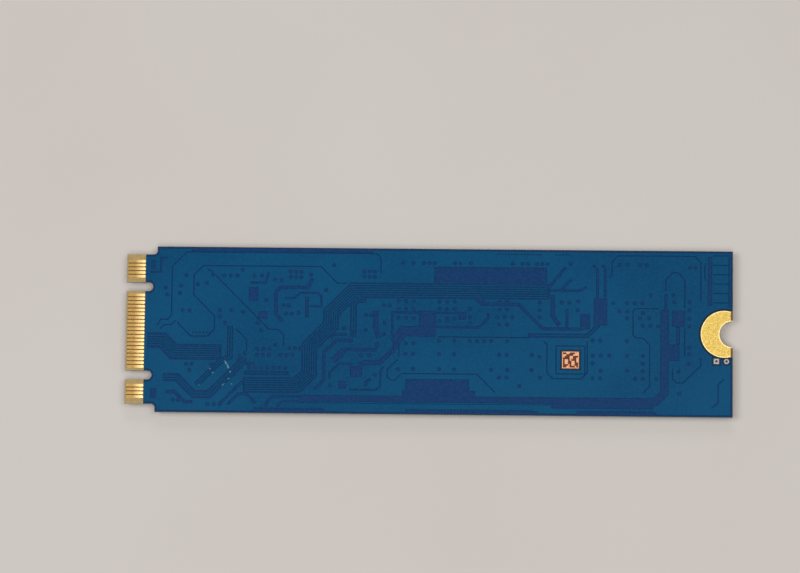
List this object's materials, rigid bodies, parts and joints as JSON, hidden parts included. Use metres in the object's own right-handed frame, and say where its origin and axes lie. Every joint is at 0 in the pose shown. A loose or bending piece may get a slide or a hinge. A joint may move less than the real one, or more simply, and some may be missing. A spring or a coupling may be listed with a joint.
{
  "type": "gumstick solid state drive",
  "caption": "Long narrow circuit board with an edge connector at one end, a half-round screw notch at the other and flat chip packages on one side.",
  "frame": {"origin": "centre of the board's outline, at the level that the package lids rest on", "axes": "+X along the board from the connector to the screw notch, +Y across the board to the side of the wider short contact group, +Z out of the bare back"},
  "size_m": [0.08, 0.022, 0.0021],
  "materials": {
    "laminate": "satin",
    "copper": "satin",
    "solder_mask": "semi-gloss",
    "gold": "satin",
    "tin": "satin",
    "solder": "satin",
    "moulding": "matte",
    "inductor_grey": "matte",
    "crystal_ceramic": "matte",
    "lid_metal": "satin",
    "capacitor_ceramic": "matte",
    "resistor_ceramic": "satin"
  },
  "bodies": {
    "root": {"laminate": "laminate", "back_copper": "copper", "back_solder_mask": "solder_mask", "front_solder_mask": "solder_mask", "back_contacts": "gold", "front_contacts": "gold", "half_moon_pad": "gold", "test_eyelets": "tin", "code_patch": "copper", "front_lands": "solder", "controller": "moulding", "controller_balls": "solder", "memory": "moulding", "memory_balls": "solder", "flash_near": "moulding", "flash_near_balls": "solder", "flash_far": "moulding", "flash_far_balls": "solder", "power_chip": "moulding", "power_chip_pads": "tin", "load_switch": "moulding", "load_switch_pads": "tin", "inductors": "inductor_grey", "inductor_terminals": "tin", "crystal_base": "crystal_ceramic", "crystal_lid": "lid_metal", "small_capacitors": "capacitor_ceramic", "small_capacitor_caps": "tin", "large_capacitors": "capacitor_ceramic", "large_capacitor_caps": "tin", "resistors": "resistor_ceramic", "resistor_caps": "tin"}
  },
  "joints": []
}
